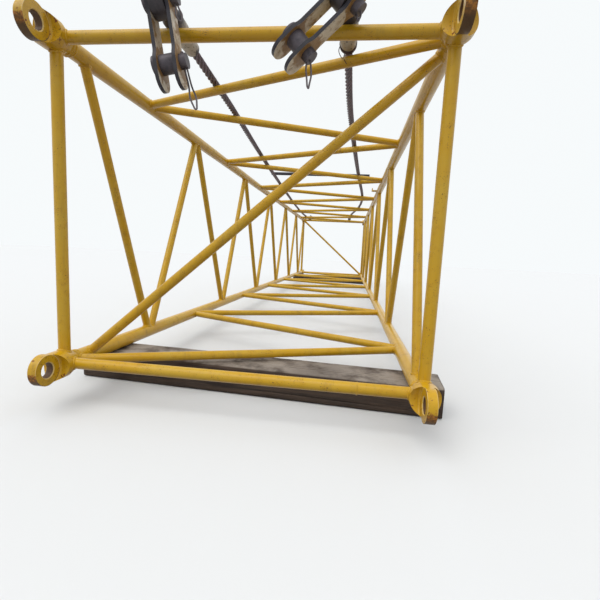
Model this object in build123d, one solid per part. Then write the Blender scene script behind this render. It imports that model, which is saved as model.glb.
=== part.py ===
from build123d import *
from math import atan, cos, radians, tan
import os

# Straight middle section of a tubular lattice boom, lying on two timber bearers.
# X runs across the boom, Y along it from the tongue end to the fork end, Z up.
# The origin is on the ground, midway along the section and on its centre line.

# Overall sizes of the section, in millimetres
pin_to_pin = 9144.0
pin_offset = 125.0
chord_spacing_x = 1600.0
chord_spacing_z = 1386.0
weld_gap = 0.3
cut_margin = 10.0

# Tubes
chord_od = 76.1
chord_wall = 8.0
frame_od = 51.0
frame_wall = 4.5
lacing_od = 45.0
lacing_wall = 3.5

# Lacing nodes along the chords
bay_count = 12
end_bay = 763.0
node_spread = 12.0
face_end_offset = 55.0
side_near_offset = 165.0
side_far_offset = 60.0
diagonal_offset = 152.0

# Forged ends: a turned body with either a milled tongue or a fork on it
lug_radius = 67.0
turned_radius = 63.0
lug_seat = 62.0
lug_shoulder = 24.0
spigot_length = 40.0
spigot_clearance = 0.3
tongue_thickness = 38.0
fork_clearance = 1.0
fork_ear = 32.0
swing_clearance = 7.0
pocket_fillet = 10.0
bore_radius = 33.0
bore_chamfer = 4.0

# Timber bearers
bearer_height = 150.0
bearer_width = 250.0
bearer_length = 1900.0
bearer_inset = 395.0
bearer_skew = 4.0
bearer_chamfer = 8.0

# Rope pendants with closed sockets
rope_od = 38.0
rest_gap = 0.3
socket_pin_offset = 100.0
socket_eye_radius = 62.0
socket_eye_thickness = 54.0
socket_neck_radius = 25.0
socket_neck_end = 72.0
socket_shoulder = 100.0
basket_radius = 40.0
basket_taper_start = 180.0
basket_end_radius = 33.0
socket_length = 315.0
socket_slope = 3.5
rope_lead = 150.0
link_pin_radius = 27.0
pin_clearance = 0.3

# Pendant links
link_centres = 226.0
link_eye_radius = 50.0
link_waist_width = 68.0
link_waist_fillet = 60.0
link_thickness = 14.0
link_gap = 60.0
link_tail = 47.0
spacer_radius = 35.0
spacer_play = 0.5
pin_head_radius = 36.0
pin_head_length = 14.0
pin_head_play = 1.0
pin_tail = 26.0

# Loose cross bar and the hook on the right top chord
bar_od = 34.0
bar_left = -522.0
bar_right = 637.0
bar_station = 3136.0
hook_station = 3716.0
hook_length = 90.0
hook_thickness = 10.0
hook_reach = 62.0
hook_lip = 34.0

# Values that follow from the sizes above
frame_length = pin_to_pin - 2 * pin_offset
near_y = -frame_length / 2
far_y = frame_length / 2
half_x = chord_spacing_x / 2
low_z = bearer_height + chord_od / 2
high_z = low_z + chord_spacing_z
inner_bay = (frame_length - 2 * end_bay) / (bay_count - 2)
pocket_radius = lug_radius + swing_clearance
rope_z = high_z + lacing_od / 2 + rest_gap + rope_od / 2

os.makedirs("parts", exist_ok=True)


def save(name, shape):
    """Write one node."""
    export_step(shape, f"parts/{name}.step")


def rod(start, end, radius):
    """Solid round bar between two points."""
    start = Vector(*start)
    end = Vector(*end)
    base = Plane(origin=start, z_dir=end - start)
    low = (Align.CENTER, Align.CENTER, Align.MIN)
    return base * Cylinder(radius, (end - start).length, align=low)


def pipe(start, end, od, wall):
    """Open tube between two points."""
    return rod(start, end, od / 2) - rod(start, end, od / 2 - wall)


def station(index, first, last):
    """Distance of a lacing node from the tongue-end frame; the two end nodes are set in."""
    if index == 0:
        return first
    if index == bay_count:
        return frame_length - last
    return end_bay + (index - 1) * inner_bay


def lug_blank(extra=0.0):
    """Turned body of an end forging, about the chord axis, pointing along -Y from the frame plane."""
    spigot_radius = chord_od / 2 - chord_wall - spigot_clearance
    with BuildSketch(Plane.XY) as outline:
        with BuildLine():
            Polyline(
                (0, lug_seat + spigot_length),
                (spigot_radius, lug_seat + spigot_length),
                (spigot_radius, lug_seat),
                (chord_od / 2 + extra, lug_seat),
                (turned_radius + extra, -lug_shoulder),
                (turned_radius + extra, -pin_offset),
                (0, -pin_offset),
                close=True,
            )
        make_face()
    return revolve(outline.sketch, Axis.Y)


def cross_disc(radius, half_width, y, inner=0.0):
    """Round disc about an X axis at the given Y, from x=inner to x=half_width on both sides."""
    whole = rod((-half_width, y, 0), (half_width, y, 0), radius)
    if inner:
        whole -= rod((-inner, y, 0), (inner, y, 0), radius + cut_margin)
    return whole


def side_cutter(inner, y):
    """Milling cutter that leaves a flat at x=inner and a round shoulder about the pin."""
    reach = lug_radius + cut_margin
    cutter = rod((inner, y, 0), (reach, y, 0), pocket_radius)
    rim = cutter.edges().filter_by(GeomType.CIRCLE).sort_by(Axis.X)[0]
    return fillet(rim, pocket_fillet)


def forged_end(tongue):
    """Tongue or fork forging at the origin, pointing along -Y."""
    pin_y = -pin_offset
    slot_half = tongue_thickness / 2 + fork_clearance
    outer = tongue_thickness / 2 if tongue else slot_half + fork_ear
    cutter = side_cutter(outer, pin_y)
    body = lug_blank() - cutter
    body -= mirror(cutter, about=Plane.YZ)
    body += cross_disc(lug_radius, outer, pin_y)
    if not tongue:
        body -= cross_disc(pocket_radius, slot_half, pin_y)
        mouth = 2 * pocket_radius
        body -= Pos(0, pin_y - pocket_radius, 0) * Box(2 * slot_half, mouth, mouth)
    body -= cross_disc(bore_radius, lug_radius + cut_margin, pin_y)
    if not tongue:
        return body
    circles = body.edges().filter_by(GeomType.CIRCLE)
    return chamfer(circles.group_by(lambda edge: abs(edge.radius - bore_radius))[0], bore_chamfer)


corners = {
    "top_left": (-half_x, high_z),
    "top_right": (half_x, high_z),
    "bottom_left": (-half_x, low_z),
    "bottom_right": (half_x, low_z),
}


def chords_and_forgings():
    """Four chords, each with a tongue at the near end and a fork at the far end."""
    tongue = forged_end(tongue=True)
    fork = Rot(0, 0, 180) * forged_end(tongue=False)
    for name, (x, z) in corners.items():
        start = (x, near_y + lug_seat, z)
        end = (x, far_y - lug_seat, z)
        save(f"chord_{name}", pipe(start, end, chord_od, chord_wall))
        save(f"near_lug_{name}", Pos(x, near_y, z) * tongue)
        save(f"far_fork_{name}", Pos(x, far_y, z) * fork)


def end_blank(x, z, y):
    """Slightly oversize body of one forging, which the tubes that meet it are coped to."""
    turn = 0 if y < 0 else 180
    return Pos(x, y, z) * Rot(0, 0, turn) * lug_blank(extra=weld_gap)


def chord_cutter(x, z, y):
    """Short oversize stretch of a chord, which a lacing tube is coped to."""
    half = 2 * chord_od
    return rod((x, y - half, z), (x, y + half, z), chord_od / 2 + weld_gap)


def coped(tube, cutters):
    """Tube with its ends shaped to the members it is welded to."""
    for cutter in cutters:
        tube = tube - cutter
    return tube


def end_frame(prefix, y, high_side):
    """Four tubes in the frame plane and one diagonal just behind it."""
    sides = {
        "top_tube": ((-half_x, y, high_z), (half_x, y, high_z)),
        "bottom_tube": ((-half_x, y, low_z), (half_x, y, low_z)),
        "left_post": ((-half_x, y, low_z), (-half_x, y, high_z)),
        "right_post": ((half_x, y, low_z), (half_x, y, high_z)),
    }
    for name, (start, end) in sides.items():
        tube = pipe(start, end, frame_od, frame_wall)
        cutters = [end_blank(p[0], p[2], y) for p in (start, end)]
        save(f"{prefix}_{name}", coped(tube, cutters))
    inward = 1 if y < 0 else -1
    brace_y = y + inward * diagonal_offset
    start = (high_side * half_x, brace_y, high_z)
    end = (-high_side * half_x, brace_y, low_z)
    cutters = [chord_cutter(p[0], p[2], brace_y) for p in (start, end)]
    tube = pipe(start, end, lacing_od, lacing_wall)
    save(f"{prefix}_diagonal", coped(tube, cutters))


def lacing(name, first_chord, second_chord, near_offset, far_offset):
    """Zigzag of tubes on one face, starting at the near end of first_chord."""
    members = []
    for bay in range(bay_count):
        a = first_chord if bay % 2 == 0 else second_chord
        b = second_chord if bay % 2 == 0 else first_chord
        ya = near_y + station(bay, near_offset, far_offset)
        yb = near_y + station(bay + 1, near_offset, far_offset)
        if bay > 0:
            ya += node_spread
        if bay < bay_count - 1:
            yb -= node_spread
        tube = pipe((a[0], ya, a[1]), (b[0], yb, b[1]), lacing_od, lacing_wall)
        cutters = [chord_cutter(a[0], a[1], ya), chord_cutter(b[0], b[1], yb)]
        if bay == 0:
            cutters.append(end_blank(a[0], a[1], near_y))
        if bay == bay_count - 1:
            cutters.append(end_blank(b[0], b[1], far_y))
        members.append(coped(tube, cutters))
    save(name, Compound(children=members))


def hook():
    """Small welded hook plate on the inner side of the right top chord."""
    y = near_y + hook_station
    reach = chord_od / 2 + hook_reach
    arm = Pos(half_x - reach / 2, y, high_z) * Box(reach, hook_length, hook_thickness)
    lip_x = half_x - reach + hook_thickness / 2
    lip_z = high_z - hook_thickness / 2 + hook_lip / 2
    arm += Pos(lip_x, y, lip_z) * Box(hook_thickness, hook_length, hook_lip)
    save("chord_hook", arm - chord_cutter(half_x, high_z, y))


def bearers():
    """Two square timbers across the ground, one near each end."""
    for name, y in (("near", near_y + bearer_inset), ("far", far_y - bearer_inset)):
        beam = Box(bearer_length, bearer_width, bearer_height)
        beam = chamfer(beam.edges().filter_by(Axis.X), bearer_chamfer)
        save(f"{name}_bearer", Pos(0, y, bearer_height / 2) * Rot(0, 0, -bearer_skew) * beam)


def closed_socket():
    """Forged socket with its pin eye at the origin and its rope end towards +Y."""
    with BuildSketch(Plane.XY) as outline:
        with BuildLine():
            Polyline(
                (0, 0),
                (socket_neck_radius, 0),
                (socket_neck_radius, socket_neck_end),
                (basket_radius, socket_shoulder),
                (basket_radius, basket_taper_start),
                (basket_end_radius, socket_length),
                (0, socket_length),
                close=True,
            )
        make_face()
    body = revolve(outline.sketch, Axis.Y)
    body += cross_disc(socket_eye_radius, socket_eye_thickness / 2, 0)
    return body - cross_disc(link_pin_radius + pin_clearance, socket_eye_thickness, 0)


def headed_pin():
    """Pin along X with a head on the -X side and room for a spring clip on the +X side."""
    outer = link_gap / 2 + link_thickness
    head_face = -outer - pin_head_play
    body = rod((head_face, 0, 0), (outer + pin_tail, 0, 0), link_pin_radius)
    return body + rod((head_face - pin_head_length, 0, 0), (head_face, 0, 0), pin_head_radius)


def link_outline():
    """Plate with an eye at each end and a narrower waist; the upper pin is at the origin."""
    outline = Circle(link_eye_radius)
    outline += Pos(0, -link_centres) * Circle(link_eye_radius)
    outline += Pos(0, -link_centres - link_tail) * Circle(link_eye_radius)
    outline += Pos(0, -link_centres - link_tail / 2) * Rectangle(2 * link_eye_radius, link_tail)
    outline += Pos(0, -link_centres / 2) * Rectangle(link_waist_width, link_centres)
    by_width = outline.vertices().sort_by(lambda corner: abs(corner.X))
    outline = fillet(by_width[:4], link_waist_fillet)
    for y in (0, -link_centres):
        outline -= Pos(0, y) * Circle(link_pin_radius + pin_clearance)
    return outline


def link_pair():
    """Two flat plates that hang from the socket pin."""
    plates = []
    for inner in (-link_gap / 2 - link_thickness, link_gap / 2):
        plates.append(extrude(Plane.YZ.offset(inner) * link_outline(), link_thickness))
    return plates


def link_spacer():
    """Sleeve on the lower pin, between the plates."""
    half = link_gap / 2 - spacer_play
    sleeve = rod((-half, 0, 0), (half, 0, 0), spacer_radius)
    return sleeve - rod((-link_gap, 0, 0), (link_gap, 0, 0), link_pin_radius + pin_clearance)


def rope_tube(name, points):
    """Rope as straight runs joined by arcs as large as the runs allow."""
    points = [Vector(*p) for p in points]
    radii = []
    for before, here, after in zip(points, points[1:], points[2:]):
        turn = radians((here - before).get_angle(after - here))
        shorter = min((here - before).length, (after - here).length)
        radii.append(0.45 * shorter / tan(turn / 2))
    path = FilletPolyline(*points, radius=radii)
    section = Plane(origin=path @ 0, z_dir=path % 0) * Circle(rope_od / 2)
    tube = sweep(section, path=path)
    expected = section.area * path.length
    print(name, "length", round(path.length), "smallest radius", round(min(radii)))
    print(name, "volume ratio", round(tube.volume / expected, 5))
    save(name, tube)


# Where each pendant runs over the top of the boom: X and distance from the near frame
left_route = [
    (-321, 830), (-350, 1240), (-383, 1680), (-414, 2130), (-443, 2590), (-471, 3060),
    (-499, 3540), (-526, 4020), (-552, 4500), (-577, 4980), (-601, 5460), (-623, 5940),
    (-643, 6420), (-659, 6890), (-670, 7340), (-676, 7750), (-674, 8120),
]
right_route = [
    (408, 830), (423, 1230), (443, 1670), (465, 2120), (489, 2580), (515, 3050),
    (543, 3520), (573, 3980), (597, 4430), (609, 4880), (606, 5330), (589, 5770),
    (560, 6200), (521, 6620), (477, 7030), (438, 7430), (413, 7800), (403, 8130),
]


def pin_height(roll):
    """Height of a socket's pin when its basket rests on the top tube of the end frame."""
    pitch = atan(tan(radians(socket_slope)) * cos(radians(roll)))
    seat = (frame_od / 2 + rest_gap + basket_radius) / cos(pitch)
    return high_z + seat + socket_pin_offset * tan(pitch)


def pin_place(x, y, heading, roll):
    """Pin axis of a socket: turned to the rope's heading, then rolled about the rope."""
    return Pos(x, y, pin_height(roll)) * Rot(0, 0, heading) * Rot(0, roll, 0)


def socket_end(place, distance):
    """Point on the socket's centre line, at a distance from its pin."""
    return (place * Pos(0, distance, 0)).position


def pendant(side, near, far, route):
    """One rope with its sockets, and the links and pins at its near end.

    near and far each hold the X of a socket's pin, its heading and its roll, in degrees.
    """
    near_hang = pin_place(near[0], near_y - socket_pin_offset, near[1], near[2])
    far_hang = pin_place(far[0], far_y + socket_pin_offset, 180 + far[1], far[2])
    near_place = near_hang * Rot(-socket_slope, 0, 0)
    far_place = far_hang * Rot(-socket_slope, 0, 0)
    lower = near_hang * Pos(0, 0, -link_centres)
    save(f"{side}_near_socket", near_place * closed_socket())
    save(f"{side}_far_socket", far_place * closed_socket())
    save(f"{side}_socket_pin", near_hang * headed_pin())
    save(f"{side}_link_plates", Compound(children=[near_hang * plate for plate in link_pair()]))
    save(f"{side}_link_pin", lower * headed_pin())
    save(f"{side}_link_spacer", lower * link_spacer())
    points = [socket_end(near_place, socket_length), socket_end(near_place, socket_length + rope_lead)]
    points += [Vector(x, near_y + y, rope_z) for x, y in route]
    points += [socket_end(far_place, socket_length + rope_lead), socket_end(far_place, socket_length)]
    rope_tube(f"{side}_rope", points)


def cross_bar():
    """Loose round bar lying across both pendants."""
    z = rope_z + rope_od / 2 + rest_gap + bar_od / 2
    y = near_y + bar_station
    save("cross_bar", rod((bar_left, y, z), (bar_right, y, z), bar_od / 2))


chords_and_forgings()
end_frame("near", near_y, high_side=1)
end_frame("far", far_y, high_side=-1)
lacing("top_lacing", corners["top_right"], corners["top_left"], face_end_offset, face_end_offset)
lacing("bottom_lacing", corners["bottom_left"], corners["bottom_right"], face_end_offset, face_end_offset)
lacing("left_lacing", corners["top_left"], corners["bottom_left"], side_near_offset, side_far_offset)
lacing("right_lacing", corners["bottom_right"], corners["top_right"], side_near_offset, side_far_offset)
hook()
bearers()
pendant("left", near=(-295.0, 1.5, -10.0), far=(-640.0, -1.0, -20.0), route=left_route)
pendant("right", near=(402.0, -2.6, 47.5), far=(400.0, 1.2, -15.0), route=right_route)
cross_bar()
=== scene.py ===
# %% [markdown]
# A lattice boom section is a long cage of steel tubes: four thick chords at the corners, thin lacing tubes
# in zigzags between them, and forged ends with holes for the connecting pins. The solid parts already
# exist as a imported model, so this lesson loads it and leaves its shapes alone. What remains is the finish:
# weld beads, the strands of the wire ropes, split timber, spring clips, and above all the materials.

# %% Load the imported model
import bpy
import numpy as np
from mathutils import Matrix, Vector


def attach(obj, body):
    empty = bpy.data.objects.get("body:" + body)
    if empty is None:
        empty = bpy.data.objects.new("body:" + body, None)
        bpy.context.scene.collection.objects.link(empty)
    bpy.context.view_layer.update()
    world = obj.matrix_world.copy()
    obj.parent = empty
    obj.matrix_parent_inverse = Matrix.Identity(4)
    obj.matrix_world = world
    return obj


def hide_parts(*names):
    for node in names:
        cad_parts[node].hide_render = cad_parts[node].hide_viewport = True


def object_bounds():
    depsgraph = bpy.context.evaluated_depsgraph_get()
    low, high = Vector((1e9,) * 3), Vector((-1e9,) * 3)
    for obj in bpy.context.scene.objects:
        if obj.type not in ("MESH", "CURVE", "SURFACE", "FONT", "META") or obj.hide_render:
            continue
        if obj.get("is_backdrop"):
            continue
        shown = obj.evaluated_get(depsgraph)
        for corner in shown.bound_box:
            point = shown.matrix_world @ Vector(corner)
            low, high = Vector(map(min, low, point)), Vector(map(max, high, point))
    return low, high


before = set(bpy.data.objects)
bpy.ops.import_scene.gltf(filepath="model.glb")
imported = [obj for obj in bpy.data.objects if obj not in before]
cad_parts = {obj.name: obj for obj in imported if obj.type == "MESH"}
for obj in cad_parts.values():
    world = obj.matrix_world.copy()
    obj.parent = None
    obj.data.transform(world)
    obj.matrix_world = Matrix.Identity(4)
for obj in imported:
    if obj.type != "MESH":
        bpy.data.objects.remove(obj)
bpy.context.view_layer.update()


# %% [markdown]
# These are the sizes the section was drawn with, in metres. X runs across the boom, Y along it and Z up from
# the ground, and the origin is in the middle. Every piece made here is placed from them, so that a weld
# lands on its joint and a rope in its socket.

# %% Sizes of the section
HALF_WIDTH = 0.8
END_PLANE = 4.447
LOW_CHORD = 0.18805
HIGH_CHORD = 1.57405
CHORD_RADIUS = 0.03805
FRAME_RADIUS = 0.0255
LACING_RADIUS = 0.0225
TURNED_RADIUS = 0.063
SEAT = 0.062
SHOULDER = 0.024
PIN_OFFSET = 0.125
LUG_RADIUS = 0.067
BORE_RADIUS = 0.033
BORE_CHAMFER = 0.004
TONGUE_HALF = 0.019
BAYS = 12
END_BAY = 0.763
INNER_BAY = (2 * END_PLANE - 2 * END_BAY) / (BAYS - 2)
NODE_SPREAD = 0.012
FACE_OFFSET = 0.055
SIDE_NEAR_OFFSET = 0.165
SIDE_FAR_OFFSET = 0.060
BRACE_OFFSET = 0.152


# %% [markdown]
# The camera stands low and close outside the near end, right of the middle, and looks along the boom. A
# short lens gives the strong perspective, and the small roll is the tilt of a hand-held shot.

# %% Camera
def add_object(name, data):
    """New object in the scene."""
    made = bpy.data.objects.new(name, data)
    bpy.context.collection.objects.link(made)
    return made


camera_data = bpy.data.cameras.new("camera")
camera_data.sensor_width = 36.0
camera_data.lens = 23.35
camera = add_object("camera", camera_data)
camera.location = (0.4644, -6.0395, 0.7463)
camera.rotation_euler = np.radians((82.843, -2.805, 7.220))
bpy.context.scene.camera = camera
bpy.context.scene.view_settings.view_transform = "Standard"


# %% [markdown]
# Every new surface in this lesson is a grid of points, worked out from two parameters. One helper turns such
# grids into a mesh. It closes them around either direction where the shape asks for it, joins many into one
# object, and can lay a UV map along them.

# %% From grids to a mesh
def grid_faces(rows, columns, wrap_rows, wrap_columns):
    """Corner numbers of the quads of a grid whose points are numbered row by row."""
    i = np.arange(rows if wrap_rows else rows - 1)[:, None]
    j = np.arange(columns if wrap_columns else columns - 1)[None, :]
    i, j = np.broadcast_arrays(i, j)
    down, right = (i + 1) % rows, (j + 1) % columns
    corners = (i * columns + j, i * columns + right, down * columns + right, down * columns + j)
    return np.stack(corners, axis=-1).reshape(-1, 4)


def mesh_from_grids(name, grids, wrap_rows=False, wrap_columns=False, outward=1, uv=None):
    """One smooth mesh object from a list of grids of points, each of shape (rows, columns, 3)."""
    points, faces, start = [], [], 0
    for grid in grids:
        rows, columns = grid.shape[:2]
        quads = grid_faces(rows, columns, wrap_rows, wrap_columns)
        faces.append((quads if outward > 0 else quads[:, ::-1]) + start)
        points.append(grid.reshape(-1, 3))
        start += rows * columns
    points = np.concatenate(points)
    faces = np.concatenate(faces)
    mesh = bpy.data.meshes.new(name)
    mesh.from_pydata(points, [], faces)
    mesh.polygons.foreach_set("use_smooth", np.ones(len(faces), bool))
    if uv is not None:
        layer = mesh.uv_layers.new(name="along")
        corner_uv = uv.reshape(-1, 2)[faces].copy()
        around = corner_uv[:, :, 0]
        crosses_start = np.ptp(around, axis=1) > 0.5
        around += crosses_start[:, None] & (around < 0.5)
        layer.data.foreach_set("uv", corner_uv.ravel())
    mesh.update()
    piece = add_object(name, mesh)
    print(name, len(points), "points", 2 * len(faces), "triangles")
    return piece


def unit(vectors):
    """Each vector divided by its own length."""
    return vectors / np.linalg.norm(vectors, axis=-1, keepdims=True)


def full_turn(count):
    """Evenly spaced angles round a circle."""
    return np.linspace(0, 2 * np.pi, count, endpoint=False)


def sweep(line, first, second, radius, sides):
    """Rings round the points of a line, each in the plane of two directions there."""
    angle = full_turn(sides)[None, :, None]
    ring = np.cos(angle) * first[:, None] + np.sin(angle) * second[:, None]
    return line[:, None] + np.broadcast_to(radius, len(line))[:, None, None] * ring


# %% [markdown]
# The pendants are wire ropes that end in cast sockets. Each socket's place follows from its pin: the pin's
# height over the end frame, its heading, and how far it has rolled over. They give three directions, along
# the pin, level across it and up the link, and everything on the pendant is placed by them.

# %% Places of the pins
SOCKET_PIN_OFFSET = 0.100
BASKET_RADIUS = 0.040
SOCKET_LENGTH = 0.315
SOCKET_SLOPE = np.radians(3.5)
REST_GAP = 0.0003
ROPE_LEAD = 0.150
LINK_CENTRES = 0.226


def turned(vectors, axis, degrees):
    """Vectors turned about Y or Z by the right-hand rule."""
    a, b = {"Y": (2, 0), "Z": (0, 1)}[axis]
    c, s = np.cos(np.radians(degrees)), np.sin(np.radians(degrees))
    result = np.array(vectors, float)
    result[..., a] = c * vectors[..., a] - s * vectors[..., b]
    result[..., b] = s * vectors[..., a] + c * vectors[..., b]
    return result


def pin_place(x, y, heading, roll):
    """Centre of a pin, and its directions: along the pin, level across it, and up the link."""
    pitch = np.arctan(np.tan(SOCKET_SLOPE) * np.cos(np.radians(roll)))
    seat = (FRAME_RADIUS + REST_GAP + BASKET_RADIUS) / np.cos(pitch)
    centre = np.array([x, y, HIGH_CHORD + seat + SOCKET_PIN_OFFSET * np.tan(pitch)])
    return centre, turned(turned(np.eye(3), "Y", roll), "Z", heading)


def socket_point(place, distance):
    """Point on a socket's centre line: the level direction tipped down by the slope."""
    centre, (_, level, up) = place
    return centre + distance * (np.cos(SOCKET_SLOPE) * level - np.sin(SOCKET_SLOPE) * up)


PIN_Y = END_PLANE + SOCKET_PIN_OFFSET
near_pin = {
    "left": pin_place(-0.295, -PIN_Y, 1.5, -10.0),
    "right": pin_place(0.402, -PIN_Y, -2.6, 47.5),
}
far_pin = {
    "left": pin_place(-0.640, PIN_Y, 179.0, -20.0),
    "right": pin_place(0.400, PIN_Y, 181.2, -15.0),
}


# %% [markdown]
# A wire rope that lies slack keeps gentle curves, because it is stiff. Its centre line is one spline through
# listed points: X and the distance from the near frame, all at the height where the rope rests on the
# lacing. The first and last two points lie on the socket's own line, so the rope leaves the socket straight.

# %% Centre lines of the ropes
ROPE_RADIUS = 0.019
ROPE_HEIGHT = HIGH_CHORD + LACING_RADIUS + REST_GAP + ROPE_RADIUS
routes = {
    "left": [
        (-0.321, 0.83), (-0.350, 1.24), (-0.383, 1.68), (-0.414, 2.13), (-0.443, 2.59), (-0.471, 3.06),
        (-0.499, 3.54), (-0.526, 4.02), (-0.552, 4.50), (-0.577, 4.98), (-0.601, 5.46), (-0.623, 5.94),
        (-0.643, 6.42), (-0.659, 6.89), (-0.670, 7.34), (-0.676, 7.75), (-0.674, 8.12),
    ],
    "right": [
        (0.408, 0.83), (0.423, 1.23), (0.443, 1.67), (0.465, 2.12), (0.489, 2.58), (0.515, 3.05),
        (0.543, 3.52), (0.573, 3.98), (0.597, 4.43), (0.609, 4.88), (0.606, 5.33), (0.589, 5.77),
        (0.560, 6.20), (0.521, 6.62), (0.477, 7.03), (0.438, 7.43), (0.413, 7.80), (0.403, 8.13),
    ],
}


def centre_line(side):
    """Points of a smooth spline whose control points are the route's."""
    near, far = near_pin[side], far_pin[side]
    points = [socket_point(near, SOCKET_LENGTH), socket_point(near, SOCKET_LENGTH + ROPE_LEAD)]
    points += [(x, distance - END_PLANE, ROPE_HEIGHT) for x, distance in routes[side]]
    points += [socket_point(far, SOCKET_LENGTH + ROPE_LEAD), socket_point(far, SOCKET_LENGTH)]
    curve = bpy.data.curves.new(f"{side}_rope_line", "CURVE")
    curve.dimensions = "3D"
    curve.resolution_u = 16
    spline = curve.splines.new("NURBS")
    spline.points.add(len(points) - 1)
    for control, point in zip(spline.points, points):
        control.co = (*point, 1.0)
    spline.order_u = 3
    spline.use_endpoint_u = True
    holder = bpy.data.objects.new(f"{side}_rope_line", curve)
    line_mesh = bpy.data.meshes.new_from_object(holder)
    line = np.zeros(3 * len(line_mesh.vertices))
    line_mesh.vertices.foreach_get("co", line)
    bpy.data.objects.remove(holder)
    return line.reshape(-1, 3)


# %% [markdown]
# A rope of this size has six strands laid round a core. From outside, its cross-section is a ring of six
# round lobes that turns as it travels, once in about six and a half diameters, to the right as on nearly
# every wire rope. So the whole rope is one surface: the lobed outline carried along the centre line with a
# steady twist. That keeps the real grooves, at a fraction of the faces of six separate tubes.

# %% The laid strands
STRANDS = 6
LAY_LENGTH = 0.245
SIDES_PER_STRAND = 8
RINGS_PER_LAY = 20


def lobed_radius(angle):
    """Radius of the strands' outline: each lobe is a circle whose centre lies two thirds out."""
    strand = ROPE_RADIUS / 3
    centre = ROPE_RADIUS - strand
    spacing = 2 * np.pi / STRANDS
    off = (angle + spacing / 2) % spacing - spacing / 2
    return centre * np.cos(off) + np.sqrt(np.maximum(strand**2 - (centre * np.sin(off)) ** 2, 0))


def evenly_spaced(line, step):
    """Points along a polyline at even steps of its own length, and those lengths."""
    travelled = np.r_[0, np.cumsum(np.linalg.norm(np.diff(line, axis=0), axis=1))]
    count = int(round(travelled[-1] / step)) + 1
    wanted = np.linspace(0, travelled[-1], count)
    spaced = np.stack([np.interp(wanted, travelled, line[:, k]) for k in range(3)], axis=1)
    return spaced, wanted


def closed_at_ends(grid, line):
    """The grid with one more ring at either end, drawn in to the centre line."""
    first = np.repeat(line[:1, None], grid.shape[1], axis=1)
    last = np.repeat(line[-1:, None], grid.shape[1], axis=1)
    return np.concatenate([first, grid, last])


def laid_rope(side):
    """Surface of one rope: its lobed outline carried along the line, turning with the length."""
    line, length = evenly_spaced(centre_line(side), LAY_LENGTH / RINGS_PER_LAY)
    tangent = unit(np.gradient(line, axis=0))
    across = unit(np.cross(tangent, [0, 0, 1]))
    up = np.cross(across, tangent)
    angle = full_turn(STRANDS * SIDES_PER_STRAND)
    turn = angle[None, :] - 2 * np.pi * length[:, None] / LAY_LENGTH
    radius = lobed_radius(angle)[None, :, None]
    ring = radius * (np.cos(turn)[..., None] * across[:, None] + np.sin(turn)[..., None] * up[:, None])
    surface = closed_at_ends(line[:, None] + ring, line)
    around = np.broadcast_to(angle / (2 * np.pi), surface.shape[:2])
    along = np.broadcast_to(np.r_[0, length, length[-1]][:, None], surface.shape[:2])
    uv = np.stack([around, along], axis=-1)
    piece = mesh_from_grids(f"{side}_laid_rope", [surface], wrap_columns=True, outward=-1, uv=uv)
    return piece, line, length[-1]


ropes = {side: laid_rope(side) for side in ("left", "right")}


# %% [markdown]
# Where a tube meets a chord or a forging it is welded all round. The seam is where straight lines on the
# tube's surface run into a round body about the chord's axis. Each line's length is found by repeating one
# short formula, because the forging is conical and its radius depends on where the line lands. A small
# round section with a ripple, the marks of the welder's hand, is then carried round the seam.

# %% Seams and beads
BEAD_RADIUS = 0.0052
BEAD_POINTS = 56
BEAD_SIDES = 8
SEAM_ROUNDS = 12
RIPPLE = 0.16
RIPPLES_PER_METRE = 21.0
FINER_RIPPLE = 2.7


def body_radius(y):
    """Radius of the round body at a place along the boom: chord, then cone, then turned forging."""
    past = np.abs(y) - END_PLANE
    cone = CHORD_RADIUS + (TURNED_RADIUS - CHORD_RADIUS) * (past + SEAT) / (SEAT + SHOULDER)
    return np.clip(cone, CHORD_RADIUS, TURNED_RADIUS)


def seam(corner, away, tube_radius):
    """Closed line where a tube about the direction away leaves the body about a corner's axis."""
    away = unit(np.array(away, float))
    flat = unit(away * [1, 0, 1])
    steep, lean = np.linalg.norm(away * [1, 0, 1]), away[1]
    side = np.cross([0, 1, 0], flat)
    angle = full_turn(BEAD_POINTS)
    in_plane, out_of_plane = tube_radius * np.cos(angle), tube_radius * np.sin(angle)
    reach = np.full(BEAD_POINTS, CHORD_RADIUS)
    for _ in range(SEAM_ROUNDS):
        y = corner[1] + reach * lean + in_plane * steep
        level = np.sqrt(np.maximum(body_radius(y) ** 2 - out_of_plane**2, 0))
        reach = (level + in_plane * lean) / steep
    normal = (in_plane[:, None] * (np.array([0, steep, 0]) - lean * flat) + out_of_plane[:, None] * side)
    points = corner + normal + reach[:, None] * away
    from_axis = unit((points - corner) * [1, 0, 1])
    return points, unit(unit(normal) + from_axis)


def bead(points, outward, radius=BEAD_RADIUS):
    """Round section carried round a closed seam, swelling and thinning with the ripple."""
    tangent = unit(np.roll(points, -1, axis=0) - np.roll(points, 1, axis=0))
    across = unit(np.cross(tangent, outward))
    outward = np.cross(across, tangent)
    steps = np.linalg.norm(np.roll(points, -1, axis=0) - points, axis=1)
    run = 2 * np.pi * RIPPLES_PER_METRE * np.cumsum(steps)
    size = radius * (1 + RIPPLE * np.sin(run) + 0.5 * RIPPLE * np.sin(FINER_RIPPLE * run + 1.0))
    return sweep(points, outward, across, size, BEAD_SIDES)


welds = []


def weld_piece(name, grids):
    """One piece that holds many beads."""
    piece = mesh_from_grids(name, grids, wrap_rows=True, wrap_columns=True)
    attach(piece, "root")
    welds.append(piece)


def weld_joints(name, joints, tube_radius):
    """The beads of a list of joints, each a corner point and a direction."""
    weld_piece(name, [bead(*seam(np.array(corner, float), away, tube_radius)) for corner, away in joints])


# %% [markdown]
# The beads need the same nodes as the lacing tubes, so the zigzag from chord to chord is walked once more:
# twelve bays, the two end ones set in from the end planes, and at each node two tubes a little apart.

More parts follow.
